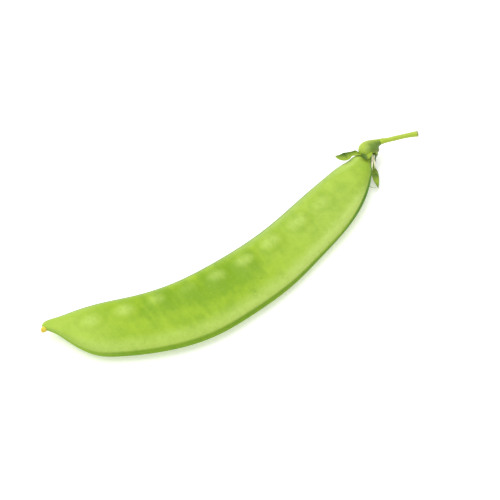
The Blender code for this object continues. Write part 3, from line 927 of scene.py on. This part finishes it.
def cup_rings(rings, sides):
    """The cup from the bottom of its socket, over the rim and down its outside, with a low rib per lobe."""
    turn = 2 * math.pi * np.arange(sides)[:, None] / sides
    mouth = np.array(MOUTH)
    inward, seed_side, _ = mouth_axes()
    around_mouth = spokes(mouth_axes(), turn)
    ribs, reaches = turn * 0, turn * 0
    for lobe in LOBES.values():
        rib = hump(turned(turn, lobe["around"]), RIM_SPREAD)
        ribs += rib
        reaches += rib * lobe["rim"]
    run_out = inward * reaches
    middle, spread, most = RIM_SHRINK
    shrink = most * hump(turned(turn, middle), spread)
    waist_place, waist_width, waist_depth = WAIST
    points, places = [], []
    for depth, radius in reversed(CUP_SOCKET):
        open_out = max(1 - depth / RIM_DEPTH, 0.0)
        ring = around_mouth * (radius - shrink * open_out)
        points.append(mouth + inward * depth + ring - run_out * open_out)
        places.append(np.hstack([turn * 0 - 0.1, ribs, around_mouth @ seed_side[:, None]]))
    rows = np.array(CUP, float)
    table = spline(np.arange(len(rows)), rows, np.linspace(0, len(rows) - 1, rings))
    for reach, way, rise, facing, radius in table:
        centre = mouth + reach * heading(way, rise)
        down = reach / CUP[-1][0]
        rib = RIB_HEIGHT * ribs * math.sin(math.pi * min(down * 1.3 + 0.15, 1.0))
        waist = waist_depth * hump(reach - waist_place, waist_width) + shrink * hump(reach, SHRINK_DEPTH)
        ring = spokes(cup_axes(facing, rise), turn) * (radius + rib - waist)
        points.append(centre + ring - run_out * hump(reach, RIM_DEPTH))
        places.append(np.hstack([turn * 0 + down, ribs, np.cos(turn)]))
    return placed(points), places


# -------- the lobes


def lobe_rings(lobe, steps, cells):
    """Thin lens-shaped rings along a lobe. The root follows the cup's rim and the rest follows its path."""
    axes = mouth_axes()
    inward = axes[0]
    around = math.radians(lobe["around"])
    rim = CUP[0][4] - LOBE_THICKNESS / 2 - ROOT_INSET
    start = np.array(MOUTH) + inward * ROOT_DEPTH
    radial = spokes(axes, around)
    side = spokes(axes, around + math.pi / 2)
    root = start + radial * rim
    stops = np.array([root, root - inward * ROOT_DEPTH * 2, *lobe["path"]])
    knots = along(stops)
    shares = np.linspace(0, 1, steps + 1)
    spine = spline(knots, stops, shares * knots[-1])
    runs = unit(np.gradient(spine, shares * knots[-1], axis=0))
    runs[0] = -inward
    halves = lobe["width"] / 2 * spline(*zip(*lobe["outline"]), shares)[:, 0]
    across = np.cos(np.linspace(0, math.pi, cells + 1))[:, None]
    bulge = np.sqrt(1 - across**2) * 0.8 + 0.02
    wave = np.sin(shares * RIPPLE_TURN) * LOBE_RIPPLE
    rings, places = [], []
    for up, point, run, half, ripple in zip(shares, spine, runs, halves, wave):
        side = unit(side - run * (side @ run))
        face = np.cross(side, run)
        swing = math.radians(lobe["twist"]) * min(up / TWIST_SHARE, 1.0)
        blade_side = side * math.cos(swing) + face * math.sin(swing)
        blade_face = face * math.cos(swing) - side * math.sin(swing)
        curl = LOBE_CUPPING * 2 * half * across**2 + ripple * across**3 * half
        flat = point + blade_side * half * across - blade_face * curl
        turn = around + across * half / rim
        curved = point + rim * (spokes(axes, turn) - radial)
        free = min(up / ROOT_SHARE, 1.0)
        middle = curved * (1 - free) + flat * free
        outward = unit(spokes(axes, turn) * (1 - free) + blade_face * free)
        thick = LOBE_THICKNESS / 2 * bulge * (1 - 0.5 * up)
        front, back = middle + outward * thick, middle - outward * thick
        rings.append(np.concatenate([front, back[-2:0:-1]]))
        # The painted light and shade across the blade.
        fresh = np.interp(across, (-1, 1), lobe["fresh"])
        marks = np.hstack([across * 0 + up, across, fresh])
        places.append(np.concatenate([marks, marks[-2:0:-1]]))
    return placed(rings), places


class OBJECT_OT_pea_calyx_lobes(Operator):
    """Makes the calyx's leafy lobes"""

    bl_idname = "object.pea_calyx_lobes"
    bl_label = "Calyx Lobes"

    def execute(self, context):
        finish = lobe_finish(context.scene.pod_colours)
        for node, lobe in LOBES.items():
            piece = ring_mesh(node + "_blade", *lobe_rings(lobe, steps=60, cells=24), finish)
            finish_piece(piece, node)
        return {"FINISHED"}


# -------- the stalk and the dried threads


def sweep_tree(shape):
    """A ridged tube along a line, whose radius is kept on the line's points."""
    graph = Shaping("Sweep", shape)
    given = graph.given
    girth, reach, _ = graph.parts(graph.noted("notes"))
    spot = graph.value("GeometryNodeInputPosition")
    strays = []
    for stray in range(4):
        seed = given["Pattern seed"] + stray * 7.0
        strays.append(graph.noise(spot, given["Wobble scale"], detail=1.0, seed=seed) * 2.0 - 1.0)
    *sideways, fatter = strays  # one for each of x, y and z, and one for the radius
    path = graph.value("GeometryNodeMeshToCurve", {"Mesh": given["Geometry"]})
    wobble = graph.vector(*[stray * given["Wobble"] for stray in sideways])
    path = graph.step("SetPosition", path, {"Offset": wobble})
    path = graph.note(path, "reach", reach, kind="FLOAT")

    ring = graph.value("GeometryNodeCurvePrimitiveCircle", {"Resolution": given["Sides"]}, mode="RADIUS")
    turn = graph.value("GeometryNodeSplineParameter", output="Factor") * math.tau
    swell = (turn * given["Ridges"]).math("COSINE") * given["Ridge height"] + 1.0
    bumpy = graph.value("ShaderNodeVectorMath", {0: spot, "Scale": swell}, operation="SCALE")
    ring = graph.step("SetPosition", ring, {"Position": bumpy})
    ring = graph.note(ring, "turn", turn.math("COSINE"), kind="FLOAT")

    scale = girth * (1 + fatter * given["Girth change"])
    tube = {"Curve": path, "Profile Curve": ring, "Scale": scale, "Fill Caps": True}
    skin = graph.value("GeometryNodeCurveToMesh", tube)
    place = graph.vector(graph.noted("reach", "FLOAT"), graph.noted("turn", "FLOAT"), 0.0)
    return graph.close(graph.note(skin, "place", place))


def swept_piece(name, node, rows, shape, finish, rings, end=1.0):
    """A smooth tube through rows of x, y, z and radius. An end of one is a half ball and nought is flat."""
    rows = np.array(rows)
    knots = along(rows[:, :3])
    path = spline(knots, rows, np.linspace(0, knots[-1], rings))
    last, radius = path[-1, :3], path[-1, 3]
    run = unit(last - path[-2, :3])
    for turn in np.linspace(0, math.pi / 2, END_CAP_RINGS + 1)[1:]:
        centre = last + run * radius * end * math.sin(turn)
        path = np.vstack([path, np.append(centre, radius * math.cos(turn))])
    path[-1, 3] = radius * TIP_SHARE
    reach = along(path[:, :3])
    notes = np.stack([path[:, 3] * MM, reach / reach[-1], reach * 0], axis=1)
    line = line_mesh(name + "_line", placed(path[:, :3]), notes=notes)
    finish_piece(grow(name, line, sweep_tree(shape), shape, finish), node)


class OBJECT_OT_pea_stalk(Operator):
    """Makes the stalk"""

    bl_idname = "object.pea_stalk"
    bl_label = "Stalk"

    def execute(self, context):
        shape, finish = context.scene.stalk_shape, stalk_finish(context.scene.pod_colours)
        swept_piece("stalk_skin", "stalk", STALK, shape, finish, rings=70, end=0.35)
        return {"FINISHED"}


class OBJECT_OT_pea_withered_style(Operator):
    """Makes the withered style on the beak"""

    bl_idname = "object.pea_withered_style"
    bl_label = "Withered Style"

    def execute(self, context):
        shape, finish = context.scene.style_shape, style_finish(context.scene.pod_colours)
        swept_piece("style_skin", "withered_style", STYLE, shape, finish, rings=24, end=0.6)
        return {"FINISHED"}


class OBJECT_OT_pea_stamen_threads(Operator):
    """Makes the dried threads at the cup's mouth"""

    bl_idname = "object.pea_stamen_threads"
    bl_label = "Stamen Threads"

    def execute(self, context):
        shape, finish = context.scene.thread_shape, thread_finish(context.scene.pod_colours)
        for node, points in THREADS.items():
            rows = np.column_stack([points, np.linspace(*THREAD_RADII, len(points))])
            swept_piece(node + "_fibre", node, rows, shape, finish, rings=60)
        return {"FINISHED"}


# -------- the studio


def add_light(name, power, size, place):
    """A round soft light at a place, aimed at the world origin."""
    data = bpy.data.lights.new(name, "AREA")
    data.energy = power
    data.shape = "DISK"
    data.size = size
    lamp = link(bpy.data.objects.new(name, data))
    lamp.location = place
    lamp.rotation_euler = Vector(place).to_track_quat("Z", "Y").to_euler()


def add_camera():
    azimuth, elevation = math.radians(CAMERA_AZIMUTH), math.radians(CAMERA_ELEVATION)
    level = math.cos(elevation)
    back = Vector((math.sin(azimuth) * level, -math.cos(azimuth) * level, math.sin(elevation)))
    data = bpy.data.cameras.new("camera")
    data.sensor_width = SENSOR_WIDTH
    data.lens = SENSOR_WIDTH * CAMERA_DISTANCE / VIEW_WIDTH
    data.clip_start = 0.01
    camera = link(bpy.data.objects.new("camera", data))
    camera.location = Vector(CAMERA_TARGET) + back * CAMERA_DISTANCE
    camera.rotation_euler = back.to_track_quat("Z", "Y").to_euler()
    bpy.context.scene.camera = camera


class OBJECT_OT_pea_studio(Operator):
    """Makes the pale floor, the soft lights and the camera"""

    bl_idname = "object.pea_studio"
    bl_label = "Studio"

    def execute(self, context):
        studio = context.scene.pea_studio
        side = studio.floor_size / 2
        corners = [(-side, -side, 0), (side, -side, 0), (side, side, 0), (-side, side, 0)]
        mesh = mesh_of("floor", corners, [], [(0, 1, 2, 3)])
        mesh.materials.append(floor_finish(studio))
        link(bpy.data.objects.new("floor", mesh))

        world = bpy.data.worlds.new("room")
        world.use_nodes = True
        background = world.node_tree.nodes["Background"]
        background.inputs["Color"].default_value = WHITE
        background.inputs["Strength"].default_value = studio.room_light
        context.scene.world = world
        add_light("top_light", studio.top_light, *TOP_LIGHT)
        add_light("side_light", studio.side_light, *SIDE_LIGHT)
        context.scene.view_settings.view_transform = "Standard"
        add_camera()
        return {"FINISHED"}


# -------- the add-on

PIECES = (
    OBJECT_OT_pea_pod_skin, OBJECT_OT_pea_calyx_cup, OBJECT_OT_pea_calyx_lobes, OBJECT_OT_pea_stalk,
    OBJECT_OT_pea_withered_style, OBJECT_OT_pea_stamen_threads, OBJECT_OT_pea_studio,
)
GROUPS = {
    "pod_shape": PodShape,
    **dict.fromkeys(SWEEP_CHANGES, SweepShape),
    "pod_colours": PodColours,
    "pea_studio": Studio,
}


class VIEW3D_PT_pea_pod(Panel):
    """Buttons for the pieces of the pod, and its sizes and colours"""

    bl_idname = "VIEW3D_PT_pea_pod"
    bl_label = "Pea Pod"
    bl_space_type = "VIEW_3D"
    bl_region_type = "UI"
    bl_category = "Pea Pod"

    def draw(self, context):
        for piece in PIECES:
            self.layout.operator(piece.bl_idname)
        for key, group in GROUPS.items():
            box = self.layout.box()
            box.label(text=key.replace("_", " ").capitalize())
            for name in group.__annotations__:
                box.prop(getattr(context.scene, key), name)


CLASSES = (PodShape, SweepShape, PodColours, Studio, *PIECES, VIEW3D_PT_pea_pod)


def register():
    for cls in CLASSES:
        bpy.utils.register_class(cls)
    for key, group in GROUPS.items():
        setattr(bpy.types.Scene, key, PointerProperty(type=group))


def unregister():
    for key in GROUPS:
        delattr(bpy.types.Scene, key)
    for cls in reversed(CLASSES):
        bpy.utils.unregister_class(cls)


def main():
    register()
    for key, changes in SWEEP_CHANGES.items():
        for name, value in changes.items():
            setattr(getattr(bpy.context.scene, key), name, value)
    bpy.ops.object.pea_pod_skin()
    bpy.ops.object.pea_calyx_cup()
    bpy.ops.object.pea_calyx_lobes()
    bpy.ops.object.pea_stalk()
    bpy.ops.object.pea_withered_style()
    bpy.ops.object.pea_stamen_threads()
    bpy.ops.object.pea_studio()


if __name__ == "__main__":
    main()
